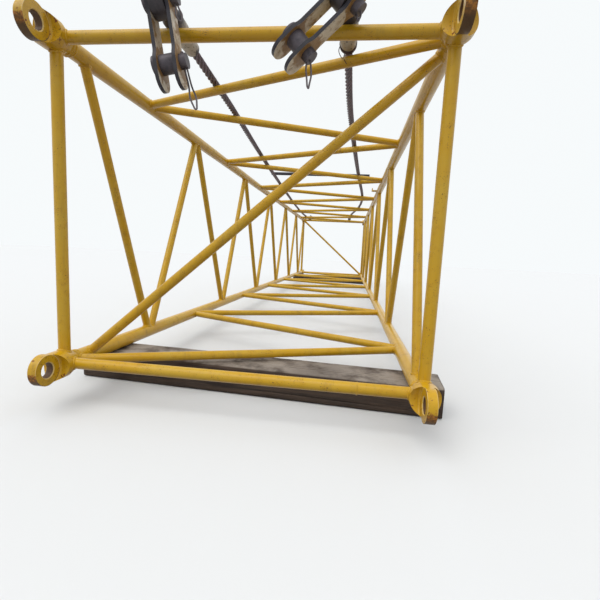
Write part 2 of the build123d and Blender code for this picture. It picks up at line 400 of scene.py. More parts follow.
# %% Beads on the lacing and the end frames
def zigzag_joints(first, second, near_offset, far_offset):
    """Both ends of every tube of one face, as corner points and directions."""
    inner = END_BAY + INNER_BAY * np.arange(BAYS - 1)
    nodes = np.r_[near_offset, inner, 2 * END_PLANE - far_offset] - END_PLANE
    joints = []
    for bay in range(BAYS):
        start, end = (first, second) if bay % 2 == 0 else (second, first)
        y_start = nodes[bay] + (NODE_SPREAD if bay else 0)
        y_end = nodes[bay + 1] - (NODE_SPREAD if bay < BAYS - 1 else 0)
        a = np.array([start[0], y_start, start[1]])
        b = np.array([end[0], y_end, end[1]])
        joints += [(a, b - a), (b, a - b)]
    return joints


corners = {
    "top_left": (-HALF_WIDTH, HIGH_CHORD),
    "top_right": (HALF_WIDTH, HIGH_CHORD),
    "bottom_left": (-HALF_WIDTH, LOW_CHORD),
    "bottom_right": (HALF_WIDTH, LOW_CHORD),
}
faces = {
    "top": ("top_right", "top_left", FACE_OFFSET, FACE_OFFSET),
    "bottom": ("bottom_left", "bottom_right", FACE_OFFSET, FACE_OFFSET),
    "left": ("top_left", "bottom_left", SIDE_NEAR_OFFSET, SIDE_FAR_OFFSET),
    "right": ("bottom_right", "top_right", SIDE_NEAR_OFFSET, SIDE_FAR_OFFSET),
}
for face, (first, second, *offsets) in faces.items():
    joints = zigzag_joints(corners[first], corners[second], *offsets)
    weld_joints(f"{face}_lacing_welds", joints, LACING_RADIUS)

for end, y in (("near", -END_PLANE), ("far", END_PLANE)):
    frame_joints = []
    for x, z in corners.values():
        across = (-np.sign(x), 0, 0)
        upright = (0, 0, 1 if z == LOW_CHORD else -1)
        frame_joints += [((x, y, z), across), ((x, y, z), upright)]
    weld_joints(f"{end}_frame_welds", frame_joints, FRAME_RADIUS)
    slant = HALF_WIDTH if y < 0 else -HALF_WIDTH
    brace_y = y - np.sign(y) * BRACE_OFFSET
    high = np.array([slant, brace_y, HIGH_CHORD])
    low = np.array([-slant, brace_y, LOW_CHORD])
    weld_joints(f"{end}_diagonal_welds", [(high, low - high), (low, high - low)], LACING_RADIUS)


# %% [markdown]
# The chord slides over a spigot on the forging and is welded round its end, in three passes side by side.
# Each pass is a plain circle, so its points come straight from sine and cosine. The near bottom tube also
# has an old repair, a ring of weld near its right end. Every ring is sunk a little into its tube.

# %% Ring welds
RING_RADIUS = 0.0062
RING_PASSES = (-0.0115, 0.0, 0.0115)
RING_POINTS = 72
RING_SINK = 0.0015
REPAIR_X = 0.530
REPAIR_RADIUS = 0.0048
REPAIR_SINK = 0.0025


def ring_seam(centre, normal_axis, radius):
    """Circle about the X or the Y direction, and its outward directions."""
    angle = full_turn(RING_POINTS)
    c, s, none = np.cos(angle), np.sin(angle), np.zeros(RING_POINTS)
    outward = np.stack([c, none, s] if normal_axis == "Y" else [none, c, s], axis=1)
    return centre + radius * outward, outward


chord_rings = []
for x, z in corners.values():
    for y in (SEAT - END_PLANE, END_PLANE - SEAT):
        for shift in RING_PASSES:
            centre = np.array([x, y + shift, z])
            ring = ring_seam(centre, "Y", float(body_radius(y + shift)) - RING_SINK)
            chord_rings.append(bead(*ring, RING_RADIUS))
weld_piece("chord_end_welds", chord_rings)
repair = ring_seam(np.array([REPAIR_X, -END_PLANE, LOW_CHORD]), "X", FRAME_RADIUS - REPAIR_SINK)
weld_piece("bottom_tube_repair", [bead(*repair, REPAIR_RADIUS)])


# %% [markdown]
# The section lies on two timbers. Sawn timber that has lain outside for years has rounded arrises, slightly
# wavy faces, and drying splits along the grain. The beam is a grid that goes round a rounded rectangle and
# along the beam. Its splits are narrow grooves in that outline whose depth swells and fades along the
# length, and the end grain is closed with rings that shrink to the middle.

# %% Timber bearers
TIMBER = np.array([1.9, 0.25, 0.15])
BEARER_SKEW = 4.0
BEARER_PLACE = END_PLANE - 0.395
TIMBER_AROUND = 240
TIMBER_ALONG = 150
CORNER_POWER = 14.0
WAVINESS = 0.0016
SPLITS = 9
SPLIT_WIDTH = (0.010, 0.022)
SPLIT_SPREAD = (0.2, 0.6)
SPLIT_DEPTH = (0.006, 0.014)
END_WEAR = 0.004
CAP_SHRINK = np.linspace(0.97, 0.0, 8)[:, None, None]


def rounded_rectangle(angle, half_width, half_height, power):
    """Outline of a superellipse: the higher the power, the sharper the corners."""
    c, s = np.cos(angle), np.sin(angle)
    radius = (np.abs(c / half_width) ** power + np.abs(s / half_height) ** power) ** (-1 / power)
    return radius * c, radius * s


def soft_waves(u, v, seed, terms=7):
    """Gentle unevenness between -1 and 1: a few sine waves with random pitch and phase."""
    draw = np.random.default_rng(seed)
    total = 0
    for _ in range(terms):
        pitch_u, pitch_v, phase = draw.integers(1, 5), draw.uniform(0.6, 5.0), draw.uniform(0, 2 * np.pi)
        total = total + np.sin(pitch_u * u + pitch_v * v + phase)
    return total / terms


def timber_beam(name, y, seed):
    """Surface of one beam, worked out about its own axis and then turned and set on the ground."""
    draw = np.random.default_rng(seed)
    angle = full_turn(TIMBER_AROUND)[None, :]
    along = np.linspace(-1, 1, TIMBER_ALONG)[:, None]
    across, up = rounded_rectangle(angle, TIMBER[1] / 2, TIMBER[2] / 2, CORNER_POWER)
    depth = WAVINESS * (1 + soft_waves(angle, 6 * along, seed))
    for _ in range(SPLITS):
        place = draw.uniform(0, 2 * np.pi)
        wander = 0.03 * np.sin(draw.uniform(2, 5) * along + draw.uniform(0, 6))
        width = draw.uniform(*SPLIT_WIDTH)
        middle, spread = draw.uniform(-1, 1), draw.uniform(*SPLIT_SPREAD)
        off = (angle - place - wander + np.pi) % (2 * np.pi) - np.pi
        fade = np.exp(-(((along - middle) / spread) ** 2))
        depth = depth + draw.uniform(*SPLIT_DEPTH) * fade * np.exp(-((off / width) ** 2))
    shrink = 1 - depth / np.hypot(across, up)
    ends = 1 - END_WEAR * np.clip((np.abs(along) - 0.99) / 0.01, 0, 1)
    across, up = across * shrink * ends, up * shrink * ends
    length = np.broadcast_to(along * TIMBER[0] / 2, across.shape)
    body = np.stack([length, across, up], axis=-1)
    caps = []
    for edge, sign in ((body[0], -1), (body[-1], 1)):
        cap = edge[None] * np.concatenate([np.ones_like(CAP_SHRINK), CAP_SHRINK, CAP_SHRINK], axis=-1)
        cap[..., 0] -= sign * END_WEAR * np.abs(soft_waves(3 * angle, 4 * CAP_SHRINK[..., 0], seed + 1))
        caps.append(cap)
    grid = turned(np.concatenate([caps[0][::-1], body, caps[1]]), "Z", -BEARER_SKEW)
    piece = mesh_from_grids(f"{name}_timber", [grid + [0, y, TIMBER[2] / 2]], wrap_columns=True)
    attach(piece, "root")
    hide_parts(f"{name}_bearer")
    return piece


timbers = [timber_beam("near", -BEARER_PLACE, 5), timber_beam("far", BEARER_PLACE, 8)]


# %% [markdown]
# Each pin is kept in by a spring clip: one length of wire, bent double, whose legs go through a cross hole
# in the pin's tail and hang below it. They stay close together at first and then open into an eye.
# Seen flat, the wire is one closed line whose half width is a formula of the distance down it: a small
# constant plus a smooth swelling, closed at both ends by a root. A round section follows that line.

# %% Spring clips
CLIP_WIRE = 0.0034
HOLE_FROM_MIDDLE = 0.057
CLIP_ABOVE = 0.034
CLIP_NECK = 0.0046
CLIP_TURN = 0.35
CLIP_POINTS = 90
CLIP_SIDES = 10
CLIP_BLUNTNESS = 10


def clip_half_width(share, eye_width, eye_middle, eye_spread):
    """Neck plus a bell-shaped eye, both drawn in to nothing at the two ends of the clip."""
    swelling = eye_width * np.exp(-(((share - eye_middle) / eye_spread) ** 2))
    closing = np.clip(1 - (2 * share - 1) ** CLIP_BLUNTNESS, 0, 1)
    return (CLIP_NECK + swelling) * np.sqrt(np.sqrt(closing))


def spring_clip(name, pin, body, length, hang, eye):
    """Wire bent double through a pin's tail, hanging along the direction hang; eye shapes its loop."""
    centre, (along, level, _) = pin
    hang = unit(np.array(hang, float))
    top = centre + HOLE_FROM_MIDDLE * along - CLIP_ABOVE * hang
    angle = full_turn(CLIP_POINTS)
    share = 0.5 - 0.5 * np.cos(angle)
    spread = unit(along + CLIP_TURN * level)
    offset = np.sign(np.sin(angle)) * clip_half_width(share, *eye)
    line = top + offset[:, None] * spread + (share * length)[:, None] * hang
    facing = unit(np.cross(spread, hang))
    tangent = unit(np.roll(line, -1, axis=0) - np.roll(line, 1, axis=0))
    outward = unit(np.cross(tangent, facing))
    wire = sweep(line, outward, facing[None], CLIP_WIRE, CLIP_SIDES)
    piece = mesh_from_grids(name, [wire], wrap_rows=True, wrap_columns=True, outward=-1)
    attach(piece, body)
    return piece


def lower(pin):
    """The link's lower pin, below its upper one along the link."""
    centre, axes = pin
    return centre - LINK_CENTRES * axes[2], axes


clips = []
long_eye, round_eye = (0.0065, 0.80, 0.14), (0.0100, 0.60, 0.24)
for side, hang, lengths, eye in (
    ("left", (0.29, 0.0, -1.0), (0.120, 0.212), long_eye),
    ("right", (0.0, 0.0, -1.0), (0.074, 0.143), round_eye),
):
    pin = near_pin[side]
    clips.append(spring_clip(f"{side}_socket_pin_clip", pin, "root", lengths[0], hang, eye))
    clips.append(spring_clip(f"{side}_link_pin_clip", lower(pin), f"{side}_links", lengths[1], hang, eye))


# %% [markdown]
# Rusty wire is wound round the right socket just before its mouth, and its two ends hang out in short bows.
# The binding is a helix about the socket's centre line whose radius follows the taper of the casting. It
# stops short of the mouth, because a lacing tube passes close below.

# %% Binding at the right socket
BINDING_WIRE = 0.0017
BINDING_TURNS = 6
BINDING_START = -0.026
BINDING_RADII = (0.0362, 0.0351)
POINTS_PER_TURN = 28
END_POINTS = 14
END_FALL = np.array([0.014, -0.012, -0.058])
END_BOW = np.array([-0.010, -0.005, 0.0])
SECOND_END_SHIFT = 5
SECOND_END_SIZE = 0.8
OFF_EVERY_WIRE = (0.31, 0.77, 0.56)


def wire_tube(line, radius, sides=8):
    """Round section carried along an open line, closed at both ends."""
    tangent = unit(np.gradient(line, axis=0))
    across = unit(np.cross(tangent, OFF_EVERY_WIRE))
    return closed_at_ends(sweep(line, np.cross(across, tangent), across, radius, sides), line)


def binding(side):
    """Wire wound on a socket near its mouth, and the two loose ends of that wire."""
    along = near_pin[side][1][0]
    mouth = socket_point(near_pin[side], SOCKET_LENGTH)
    forward = unit(socket_point(near_pin[side], SOCKET_LENGTH + ROPE_LEAD) - mouth)
    upright = unit(np.cross(along, forward))
    turn = np.linspace(0, 2 * np.pi * BINDING_TURNS, POINTS_PER_TURN * BINDING_TURNS)
    share = turn / turn[-1]
    radius = BINDING_RADII[0] + share * (BINDING_RADII[1] - BINDING_RADII[0])
    advance = BINDING_START + 2 * BINDING_WIRE * turn / (2 * np.pi)
    wound = mouth + advance[:, None] * forward
    wound = wound + radius[:, None] * (np.cos(turn)[:, None] * along + np.sin(turn)[:, None] * upright)
    last_turn = wound[-POINTS_PER_TURN:]
    first = int(np.argmin(last_turn[:, 0]))
    second = (first + SECOND_END_SHIFT) % POINTS_PER_TURN
    t = np.linspace(0, 1, END_POINTS)[:, None]
    loose_end = t * END_FALL + np.sin(np.pi * t) * END_BOW
    lines = [wound, last_turn[first] + loose_end, last_turn[second] + SECOND_END_SIZE * loose_end]
    grids = [wire_tube(line, BINDING_WIRE) for line in lines]
    return mesh_from_grids(f"{side}_rope_binding", grids, wrap_columns=True)


# %% [markdown]
# The ropes are attached once the pieces on them exist: each rope and the binding go to the root, and the
# imported ropes are hidden.

bindings = {"left": [], "right": [binding("right")]}
for side, (piece, line, rope_length) in ropes.items():
    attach(piece, "root")
    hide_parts(f"{side}_rope")
    for extra in bindings[side]:
        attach(extra, "root")


# %% [markdown]
# Materials are small node trees, and short helpers name the operations that come back most often. All
# patterns read Object coordinates, in metres, so a noise scale of 100 gives spots about a centimetre across.

# %% Node helpers
def fill(tree, node, inputs):
    """Sets a node's inputs, each to a number or a colour, or by a link from a socket."""
    for key, value in inputs.items():
        if isinstance(value, bpy.types.NodeSocket):
            tree.links.new(value, node.inputs[key])
        else:
            node.inputs[key].default_value = value


def put(tree, kind, inputs=None, **settings):
    """Adds a node, sets its properties, and fills its inputs."""
    made = tree.nodes.new(kind)
    for key, value in settings.items():
        setattr(made, key, value)
    fill(tree, made, inputs or {})
    return made


def calc(tree, operation, *values, clamp=False):
    """Output of a Math node."""
    inputs = dict(enumerate(values))
    return put(tree, "ShaderNodeMath", inputs, operation=operation, use_clamp=clamp).outputs[0]


def times(tree, first, second):
    """Product of two values."""
    return calc(tree, "MULTIPLY", first, second)


def vectors(tree, operation, *values):
    """Outputs of a Vector Math node."""
    return put(tree, "ShaderNodeVectorMath", dict(enumerate(values)), operation=operation).outputs


def noise(tree, coords, scale, detail=3.0, roughness=0.5, distortion=0.0):
    """Noise between 0 and 1 at a scale in waves per metre."""
    values = {"Vector": coords, "Scale": scale, "Detail": detail, "Roughness": roughness}
    values["Distortion"] = distortion
    return put(tree, "ShaderNodeTexNoise", values).outputs["Fac"]


def between(tree, value, low, high):
    """0 below low, 1 above high, and smooth in between."""
    inputs = {"Value": value, "From Min": low, "From Max": high}
    return put(tree, "ShaderNodeMapRange", inputs, interpolation_type="SMOOTHSTEP").outputs["Result"]


def ragged(tree, value, pattern, amount):
    """A value made uneven by a pattern, by up to half the amount either way."""
    return calc(tree, "ADD", value, calc(tree, "MULTIPLY_ADD", pattern, amount, -amount / 2))


def blend_colour(tree, share, first, second):
    """First colour where share is 0, second where it is 1."""
    return put(tree, "ShaderNodeMix", {0: share, 6: first, 7: second}, data_type="RGBA").outputs[2]


def tint(tree, base, mask, amount, colour):
    """The base with a colour laid over it where the mask is 1, up to the amount."""
    return blend_colour(tree, times(tree, mask, amount), base, colour)


def stretched(tree, coords, x, y, z):
    """Coordinates scaled differently along each direction, to draw a pattern out."""
    return put(tree, "ShaderNodeMapping", {"Vector": coords, "Scale": (x, y, z)}).outputs[0]


def rgb(red, green, blue):
    """Linear colour from the 0 to 255 values of a picture."""
    shares = np.array([red, green, blue]) / 255
    return (*np.where(shares <= 0.04045, shares / 12.92, ((shares + 0.055) / 1.055) ** 2.4), 1.0)


COLOUR, NUMBER, PLACE = "NodeSocketColor", "NodeSocketFloat", "NodeSocketVector"


def new_group(name, inputs):
    """Empty node group with named inputs, which gives a colour, a roughness and a height."""
    group = bpy.data.node_groups.new(name, "ShaderNodeTree")
    for socket, kind in inputs.items():
        group.interface.new_socket(socket, in_out="INPUT", socket_type=kind)
    for socket, kind in (("Color", COLOUR), ("Roughness", NUMBER), ("Height", NUMBER)):
        group.interface.new_socket(socket, in_out="OUTPUT", socket_type=kind)
    return group, group.nodes.new("NodeGroupInput"), group.nodes.new("NodeGroupOutput")


def new_material(name):
    """Material with its Principled shader and Object coordinates."""
    material = bpy.data.materials.new(name)
    material.use_nodes = True
    tree = material.node_tree
    coords = put(tree, "ShaderNodeTexCoord").outputs["Object"]
    return material, tree, tree.nodes["Principled BSDF"], coords


def add_bump(tree, shader, height, strength, distance):
    """Bump from a height in 0 to 1, whose full step is distance metres."""
    inputs = {"Height": height, "Strength": strength, "Distance": distance}
    fill(tree, shader, {"Normal": put(tree, "ShaderNodeBump", inputs).outputs[0]})


def worn_material(name, group, amounts, settings, strength, bump):
    """Material whose look comes from a group with its own amounts, and from plain shader settings."""
    material, tree, shader, coords = new_material(name)
    wear = put(tree, "ShaderNodeGroup", {"Coords": coords, **amounts}, node_tree=group)
    fill(tree, shader, {"Base Color": wear.outputs["Color"], "Roughness": wear.outputs["Roughness"]})
    fill(tree, shader, settings)
    add_bump(tree, shader, wear.outputs["Height"], strength, bump)
    return material, tree, shader, coords, wear


# %% [markdown]
# Enamel that has been outside for years fades unevenly, over patches about 30 cm across. Water leaves faint
# brown streaks of dirt. And it chips, in small specks and in larger flakes with a thin brown stain round
# them. One group makes all three, in amounts that each material sets.

# %% Group: weathered enamel
FRESH, CHALKED, WARM = rgb(208, 161, 14), rgb(209, 172, 58), rgb(190, 138, 16)
DIRT, STAIN, SPECK = rgb(122, 98, 62), rgb(150, 92, 34), rgb(84, 60, 34)
DARK_RUST, LIGHT_RUST = rgb(62, 34, 20), rgb(160, 88, 36)
enamel, given, result = new_group("weathered_enamel", {"Coords": PLACE, "Chips": NUMBER, "Dirt": NUMBER})
place = given.outputs["Coords"]
fading = between(enamel, noise(enamel, place, 3.2, 4.0, 0.6), 0.34, 0.72)
mottle = noise(enamel, place, 26.0, 3.0, 0.6)
paint = tint(enamel, FRESH, fading, 0.75, CHALKED)
paint = tint(enamel, paint, between(enamel, mottle, 0.45, 0.75), 0.35, WARM)
streak_coords = stretched(enamel, place, 22.0, 22.0, 3.0)
streaks = between(enamel, noise(enamel, streak_coords, 1.0, 5.0, 0.65), 0.50, 0.78)
dirt = times(enamel, streaks, given.outputs["Dirt"])
paint = tint(enamel, paint, dirt, 0.6, DIRT)

flake_noise = noise(enamel, place, 60.0, 6.0, 0.62, 0.4)
flake_limit = calc(enamel, "SUBTRACT", 0.86, times(enamel, given.outputs["Chips"], 0.16))
over = calc(enamel, "SUBTRACT", flake_noise, flake_limit)
stain = between(enamel, over, -0.055, 0.0)
bare = between(enamel, over, 0.0, 0.018)
speck_value = calc(enamel, "ADD", noise(enamel, place, 240.0, 2.0, 0.5), times(enamel, mottle, 0.22))
cluster = between(enamel, noise(enamel, place, 6.5, 3.0, 0.6), 0.40, 0.68)
speck_value = calc(enamel, "MULTIPLY_ADD", cluster, 0.075, speck_value)
speck = between(enamel, speck_value, 0.810, 0.845)
rust_tone = noise(enamel, place, 90.0, 4.0, 0.7)
paint = tint(enamel, paint, stain, 0.55, STAIN)
paint = tint(enamel, paint, speck, 0.75, SPECK)
paint = blend_colour(enamel, bare, paint, blend_colour(enamel, rust_tone, DARK_RUST, LIGHT_RUST))

rough = calc(enamel, "MULTIPLY_ADD", fading, 0.12, 0.30)
rough = calc(enamel, "ADD", rough, times(enamel, dirt, 0.25))
rough = calc(enamel, "ADD", rough, times(enamel, bare, 0.45), clamp=True)
peel = noise(enamel, place, 330.0, 2.0, 0.5)
height = calc(enamel, "MULTIPLY_ADD", peel, 0.16, 0.5)
height = calc(enamel, "SUBTRACT", height, times(enamel, bare, 0.5))
height = calc(enamel, "ADD", height, times(enamel, rust_tone, times(enamel, bare, 0.4)))
fill(enamel, result, {"Color": paint, "Roughness": rough, "Height": height})


# %% [markdown]
# The tubes use that group as it is. Their gloss comes from a thin clear coat over a fairly rough base, which
# is how enamel keeps a sharp sky reflection after its pigment has gone chalky.

# %% Material: enamelled tubes
def enamelled(name, chips, dirt, bump=0.0009):
    """Enamel on steel, with its amounts of chips and dirt."""
    gloss = {"Specular IOR Level": 0.30, "Coat Weight": 0.18, "Coat Roughness": 0.10}
    return worn_material(name, enamel, {"Chips": chips, "Dirt": dirt}, gloss, 0.7, bump)


tube_enamel = enamelled("tube_enamel", chips=0.50, dirt=0.50)[0]
lacing_enamel = enamelled("lacing_enamel", chips=0.60, dirt=0.65)[0]
weld_enamel = enamelled("weld_enamel", chips=0.85, dirt=1.0)[0]


# %% [markdown]
# The forged ends wear in their own places. The wall of the pin hole is bare and brown, and darkened as
# painted shade inside the hole. Its lead-in and the rims of the tongue are paler, rubbed and with a painted
# highlight on the edges, and the lower part of the round nose, which was dragged over the ground, has lost
# its paint to rust, darker towards the bottom. All eight forgings stand at the same place in their own
# corner, so absolute values of the coordinates turn every corner into the same one, and the distance from
# the pin's axis then tells hole, lead-in, face and nose apart.

# %% Material: forgings
RUBBED_AND_HIGHLIT, DARK_HOLE, PALE_HOLE = rgb(226, 198, 132), rgb(66, 46, 34), rgb(132, 100, 70)
OLD_RUST, BRIGHT_RUST, DARKER_BELOW = rgb(92, 56, 30), rgb(178, 114, 42), rgb(70, 46, 32)
LEAD_IN_RADIUS = BORE_RADIUS + BORE_CHAMFER
forging_enamel, tree, shader, coords, wear = enamelled("forging_enamel", chips=1.42, dirt=0.6, bump=0.0014)
x, y, z = put(tree, "ShaderNodeSeparateXYZ", {0: coords}).outputs
from_middle = calc(tree, "ABSOLUTE", calc(tree, "SUBTRACT", calc(tree, "ABSOLUTE", x), HALF_WIDTH))
ahead = calc(tree, "SUBTRACT", calc(tree, "ABSOLUTE", y), END_PLANE + PIN_OFFSET)
is_high = calc(tree, "GREATER_THAN", z, (LOW_CHORD + HIGH_CHORD) / 2)
below = calc(tree, "SUBTRACT", calc(tree, "MULTIPLY_ADD", is_high, HIGH_CHORD - LOW_CHORD, LOW_CHORD), z)
squares = calc(tree, "ADD", calc(tree, "POWER", ahead, 2.0), calc(tree, "POWER", below, 2.0))
from_pin = calc(tree, "SQRT", squares)
blotch = noise(tree, coords, 75.0, 5.0, 0.68)
coarse = noise(tree, coords, 24.0, 3.0, 0.55)

# Pale rims on the nose edges and the lead-in: rubbed paint, and a painted highlight along the edges.
on_tongue = between(tree, from_pin, LUG_RADIUS + 0.0014, LUG_RADIUS + 0.0005)
on_nose = times(tree, on_tongue, between(tree, from_pin, LUG_RADIUS - 0.0020, LUG_RADIUS - 0.0008))
near_side = between(tree, from_middle, TONGUE_HALF - 0.0022, TONGUE_HALF - 0.0010)
lead_in = between(tree, from_pin, LEAD_IN_RADIUS + 0.0016, LEAD_IN_RADIUS)
rubbed_and_highlit = calc(tree, "MAXIMUM", times(tree, on_nose, near_side), lead_in)
rubbed_and_highlit = times(tree, rubbed_and_highlit, between(tree, blotch, 0.30, 0.44))
finish = tint(tree, wear.outputs["Color"], rubbed_and_highlit, 0.80, RUBBED_AND_HIGHLIT)
# The hole wall: bare brown steel, darkened as painted shade inside the hole.
hole_wall = between(tree, from_pin, BORE_RADIUS + 0.0012, BORE_RADIUS + 0.0002)
finish = blend_colour(tree, hole_wall, finish, blend_colour(tree, blotch, DARK_HOLE, PALE_HOLE))

ragged_depth = ragged(tree, ragged(tree, below, coarse, 0.026), blotch, 0.044)
dragged = times(tree, on_nose, between(tree, ragged_depth, 0.0020, 0.0055))
rust = blend_colour(tree, between(tree, blotch, 0.40, 0.62), OLD_RUST, BRIGHT_RUST)
# The colour turns darker towards the bottom of the nose.
rust = blend_colour(tree, between(tree, ragged_depth, 0.028, 0.046), rust, DARKER_BELOW)
finish = tint(tree, finish, dragged, 0.92, rust)
bare_steel = calc(tree, "MAXIMUM", dragged, hole_wall)
rough = calc(tree, "MULTIPLY_ADD", bare_steel, 0.35, wear.outputs["Roughness"], clamp=True)
fill(tree, shader, {"Base Color": finish, "Roughness": rough})


# %% [markdown]
# Ropes, pins, sockets and the bar are steel that has gone dark with grease and weather. The group gives a
# base tone broken up by stains, a few rusty patches, and a fine grain. Each material sets its own tones, how
# rusty it is and how fine its grain is.

# %% Group: dark weathered steel
RUST_PATCH, GREASE = rgb(112, 70, 42), rgb(24, 22, 24)
steel, given, result = new_group(
    "dark_steel", {"Coords": PLACE, "Tone": COLOUR, "Stain": COLOUR, "Rust": NUMBER, "Grain": NUMBER}
)
place = given.outputs["Coords"]
patches = between(steel, noise(steel, place, 14.0, 5.0, 0.6), 0.36, 0.68)
tone = blend_colour(steel, patches, given.outputs["Tone"], given.outputs["Stain"])
limit = calc(steel, "SUBTRACT", 0.82, times(steel, given.outputs["Rust"], 0.30))
over = calc(steel, "SUBTRACT", noise(steel, place, 38.0, 6.0, 0.68, 0.3), limit)
rusty = between(steel, over, 0.0, 0.08)
tone = tint(steel, tone, rusty, 0.8, RUST_PATCH)
fine = noise(steel, place, given.outputs["Grain"], 3.0, 0.6)
tone = tint(steel, tone, between(steel, fine, 0.5, 0.8), 0.35, GREASE)
rough = calc(steel, "MULTIPLY_ADD", patches, -0.12, 0.56)
rough = calc(steel, "ADD", rough, times(steel, rusty, 0.25), clamp=True)
fill(steel, result, {"Color": tone, "Roughness": rough, "Height": fine})


def dark_steel(name, tone, stain, rust=0.3, grain=140.0, metallic=0.5, bump=0.0006):
    """Weathered steel with its own tones and its own share of bare metal."""
    amounts = {"Tone": tone, "Stain": stain, "Rust": rust, "Grain": grain}
    return worn_material(name, steel, amounts, {"Metallic": metallic}, 0.5, bump)


pin_steel = dark_steel("pin_steel", rgb(98, 92, 98), rgb(58, 54, 60), rust=0.25, grain=220.0)[0]
clip_steel = dark_steel("clip_steel", rgb(112, 104, 108), rgb(60, 54, 58), rust=0.45, grain=400.0)[0]
bar_steel = dark_steel("bar_steel", rgb(52, 50, 60), rgb(34, 32, 40), rust=0.2, metallic=0.2)[0]
binding_steel = dark_steel("binding_steel", rgb(96, 68, 62), rgb(54, 42, 44), rust=0.5, grain=400.0)[0]


# %% [markdown]
# The rope's strands are real shape, but the wires in them are too fine for that. In a rope of ordinary lay
# they run along the rope, across the slant of the strands. So they are drawn in the rope's own UV map, where
# u goes round with the lay and v along the rope in metres, as lines that undo one turn of u for each length
# of lay. The grooves between the strands and the gaps between the wires are darkened, partly as grease and
# partly as painted shade.

# %% Material: laid wire rope
WIRES_ACROSS = 30.0
WIRES_ALONG = WIRES_ACROSS / LAY_LENGTH


def ridges(tree, value, count):
    """Rounded ridges between 0 and 1, a count of them for each whole step of the value."""
    return calc(tree, "ABSOLUTE", calc(tree, "SINE", times(tree, value, np.pi * count)))


rope_steel, tree, shader, coords, wear = dark_steel(
    "rope_steel", rgb(118, 102, 112), rgb(84, 72, 82), rust=0.25, grain=300.0, metallic=0.25
)
rope_map = put(tree, "ShaderNodeTexCoord").outputs["UV"]
around, along, _ = put(tree, "ShaderNodeSeparateXYZ", {0: rope_map}).outputs
slant = calc(tree, "MULTIPLY_ADD", around, WIRES_ACROSS, times(tree, along, -WIRES_ALONG))
wire = ridges(tree, slant, 1)
# Darkening in the grooves and between the wires: grease, and painted shade where light can't reach.
groove = between(tree, ridges(tree, around, STRANDS), 0.72, 1.0)
gap = calc(tree, "SUBTRACT", 1.0, between(tree, wire, 0.0, 0.45))
shade = calc(tree, "MAXIMUM", times(tree, groove, 0.60), times(tree, gap, 0.40))
greased_and_shaded = blend_colour(tree, shade, wear.outputs["Color"], rgb(38, 31, 36))
fill(tree, shader, {"Base Color": greased_and_shaded})
add_bump(tree, shader, wire, 0.6, 0.0007)


# %% [markdown]
# Round the eye the sockets are dark, and the basket still carries most of a pale primer, which stops short
# of its mouth. The change follows how far a point lies inside the pin's line along Y, broken up with noise.
# A range given from high to low makes a mask that falls.

# %% Material: sockets
PRIMER_STARTS, PRIMER_STOPS = (0.110, 0.165), (0.318, 0.300)
GREY_PRIMER, PALE_PRIMER = rgb(140, 126, 112), rgb(196, 188, 172)
socket_steel, tree, shader, coords, wear = dark_steel(
    "socket_steel", rgb(70, 64, 68), rgb(42, 38, 42), rust=0.3, grain=120.0, metallic=0.25, bump=0.0012
)
socket_y = put(tree, "ShaderNodeSeparateXYZ", {0: coords}).outputs["Y"]
inside = calc(tree, "SUBTRACT", PIN_Y, calc(tree, "ABSOLUTE", socket_y))
inside = ragged(tree, inside, noise(tree, coords, 30.0, 5.0, 0.65), 0.10)
primer = times(tree, between(tree, inside, *PRIMER_STARTS), between(tree, inside, *PRIMER_STOPS))
primer = times(tree, primer, between(tree, noise(tree, coords, 70.0, 6.0, 0.7), 0.34, 0.46))
pale = blend_colour(tree, noise(tree, coords, 22.0, 4.0, 0.6), GREY_PRIMER, PALE_PRIMER)
fill(tree, shader, {"Base Color": blend_colour(tree, primer, wear.outputs["Color"], pale)})


# %% [markdown]
# The link plates are flame cut from thick plate. Their cut edges are almost black, while the flat faces keep
# worn pale paint with yellow-brown rust coming through, most of all round the pins. Object-space normals
# tell the two apart: on a face the normal lies along the pin, on an edge it doesn't.

# %% Material: link plates
CUT_EDGE, CUT_STAIN, SCRATCH = rgb(42, 38, 48), rgb(22, 20, 27), rgb(52, 44, 42)
PALE_PAINT, WORN_PAINT = rgb(232, 224, 208), rgb(188, 172, 146)
YELLOW_RUST, BROWN_RUST = rgb(178, 136, 74), rgb(92, 66, 46)


def plate_finish(side):
    """Worn pale paint on the flat faces, dark scale on the cut edges, rust round the pins."""
    pins = (near_pin[side], lower(near_pin[side]))
    along = tuple(near_pin[side][1][0])
    material, tree, shader, coords, wear = dark_steel(
        f"{side}_plate", CUT_EDGE, CUT_STAIN, rust=0.25, grain=160.0, metallic=0.1, bump=0.0010
    )
    normal = put(tree, "ShaderNodeTexCoord").outputs["Normal"]
    facing = calc(tree, "ABSOLUTE", vectors(tree, "DOT_PRODUCT", normal, along)["Value"])
    rings = []
    for centre, _ in pins:
        away = vectors(tree, "SUBTRACT", coords, tuple(centre))["Vector"]
        beside = vectors(tree, "CROSS_PRODUCT", away, along)["Vector"]
        rings.append(between(tree, vectors(tree, "LENGTH", beside)["Value"], 0.072, 0.040))
    near_pins = times(tree, calc(tree, "MAXIMUM", *rings), 0.20)
    rusty = calc(tree, "ADD", noise(tree, coords, 17.0, 6.0, 0.66, 0.5), near_pins)
    paint = blend_colour(tree, noise(tree, coords, 55.0, 3.0, 0.6), PALE_PAINT, WORN_PAINT)
    brown = blend_colour(tree, noise(tree, coords, 80.0, 5.0, 0.7), YELLOW_RUST, BROWN_RUST)
    paint = blend_colour(tree, between(tree, rusty, 0.46, 0.62), paint, brown)
    scratch = between(tree, noise(tree, coords, 150.0, 6.0, 0.75, 1.0), 0.58, 0.66)
    paint = tint(tree, paint, scratch, 0.8, SCRATCH)
    face = between(tree, facing, 0.80, 0.95)
    fill(tree, shader, {"Base Color": blend_colour(tree, face, wear.outputs["Color"], paint)})
    return material


plate_finishes = {side: plate_finish(side) for side in near_pin}
